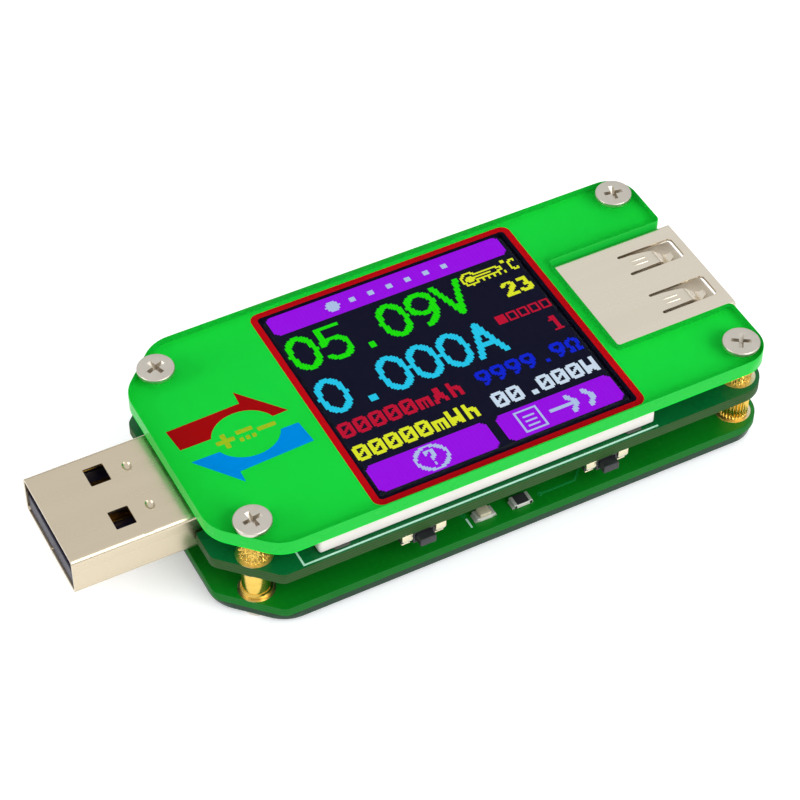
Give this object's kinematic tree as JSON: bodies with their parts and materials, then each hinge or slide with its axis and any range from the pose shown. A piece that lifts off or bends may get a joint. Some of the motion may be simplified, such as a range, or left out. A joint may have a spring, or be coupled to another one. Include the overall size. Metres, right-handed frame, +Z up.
{
  "type": "usb power meter",
  "caption": "In-line USB voltage and current meter: two circuit boards between plates on brass spacers, with a USB plug, a USB socket, a colour display and side buttons.",
  "frame": {"origin": "under the middle of the overall length and width, in the plane of the bottom screw heads that the meter rests on", "axes": "+X from the plug to the socket, +Y to the edge away from the front buttons, +Z up, out of the display"},
  "size_m": [0.0714, 0.031, 0.0124],
  "materials": {
    "front_acrylic": "clear cast acrylic, polished faces",
    "printed_film": "bright green screen print with red and blue artwork",
    "back_acrylic": "dark green gloss sheet",
    "solder_mask": "green solder mask over glass-fibre laminate",
    "screw_nickel": "nickel-plated steel, satin",
    "spacer_brass": "turned and knurled brass",
    "shell_nickel": "nickel-plated pressed steel",
    "plug_plastic": "moulded dark plastic",
    "port_plastic": "moulded black plastic",
    "contact_gold": "gold-plated strip",
    "lcd_white": "moulded white plastic",
    "lcd_glass": "dark display glass with lit digits",
    "foam_tape": "grey foam tape",
    "flex_amber": "amber polyimide ribbon",
    "switch_tin": "tin-plated sheet over a black base",
    "button_black": "moulded black plastic",
    "chip_black": "moulded epoxy",
    "led_body": "clear lens on a white base",
    "crystal_can": "satin metal lid",
    "ceramic_tan": "fired ceramic"
  },
  "bodies": {
    "chassis": {"front_plate": "front_acrylic", "artwork_film": "printed_film", "back_plate": "back_acrylic", "main_board": "solder_mask", "lower_board": "solder_mask", "top_screw_1": "screw_nickel", "bottom_screw_1": "screw_nickel", "upper_spacer_1": "spacer_brass", "lower_spacer_1": "spacer_brass", "top_screw_2": "screw_nickel", "bottom_screw_2": "screw_nickel", "upper_spacer_2": "spacer_brass", "lower_spacer_2": "spacer_brass", "top_screw_3": "screw_nickel", "bottom_screw_3": "screw_nickel", "upper_spacer_3": "spacer_brass", "lower_spacer_3": "spacer_brass", "top_screw_4": "screw_nickel", "bottom_screw_4": "screw_nickel", "upper_spacer_4": "spacer_brass", "lower_spacer_4": "spacer_brass", "plug_shell": "shell_nickel", "plug_insulator": "plug_plastic", "port_shell": "shell_nickel", "port_insulator": "port_plastic", "plug_contact_1": "contact_gold", "port_contact_1": "contact_gold", "plug_contact_2": "contact_gold", "port_contact_2": "contact_gold", "plug_contact_3": "contact_gold", "port_contact_3": "contact_gold", "plug_contact_4": "contact_gold", "port_contact_4": "contact_gold", "lcd_frame": "lcd_white", "lcd_glass": "lcd_glass", "lcd_tape_left": "foam_tape", "lcd_tape_right": "foam_tape", "lcd_flex": "flex_amber", "front_switch_1": "switch_tin", "front_switch_2": "switch_tin", "back_switch_1": "switch_tin", "back_switch_2": "switch_tin", "status_led": "led_body", "led_resistor": "chip_black", "microcontroller": "chip_black", "memory_chip": "chip_black", "crystal": "crystal_can", "shunt_resistor": "chip_black", "voltage_regulator": "chip_black", "filter_capacitor": "ceramic_tan", "board_header": "chip_black", "board_socket": "chip_black"},
    "front_key_1": {"front_button_1": "button_black"},
    "front_key_2": {"front_button_2": "button_black"},
    "back_key_1": {"back_button_1": "button_black"},
    "back_key_2": {"back_button_2": "button_black"}
  },
  "joints": [
    {"name": "front_press_1", "type": "slide", "parent": "chassis", "child": "front_key_1", "axis": [0, 1, 0], "range_m": [0, 0.00025], "stiffness_N_per_m": 200},
    {"name": "front_press_2", "type": "slide", "parent": "chassis", "child": "front_key_2", "axis": [0, 1, 0], "range_m": [0, 0.00025], "stiffness_N_per_m": 200},
    {"name": "back_press_1", "type": "slide", "parent": "chassis", "child": "back_key_1", "axis": [0, -1, 0], "range_m": [0, 0.00025], "stiffness_N_per_m": 200},
    {"name": "back_press_2", "type": "slide", "parent": "chassis", "child": "back_key_2", "axis": [0, -1, 0], "range_m": [0, 0.00025], "stiffness_N_per_m": 200}
  ]
}
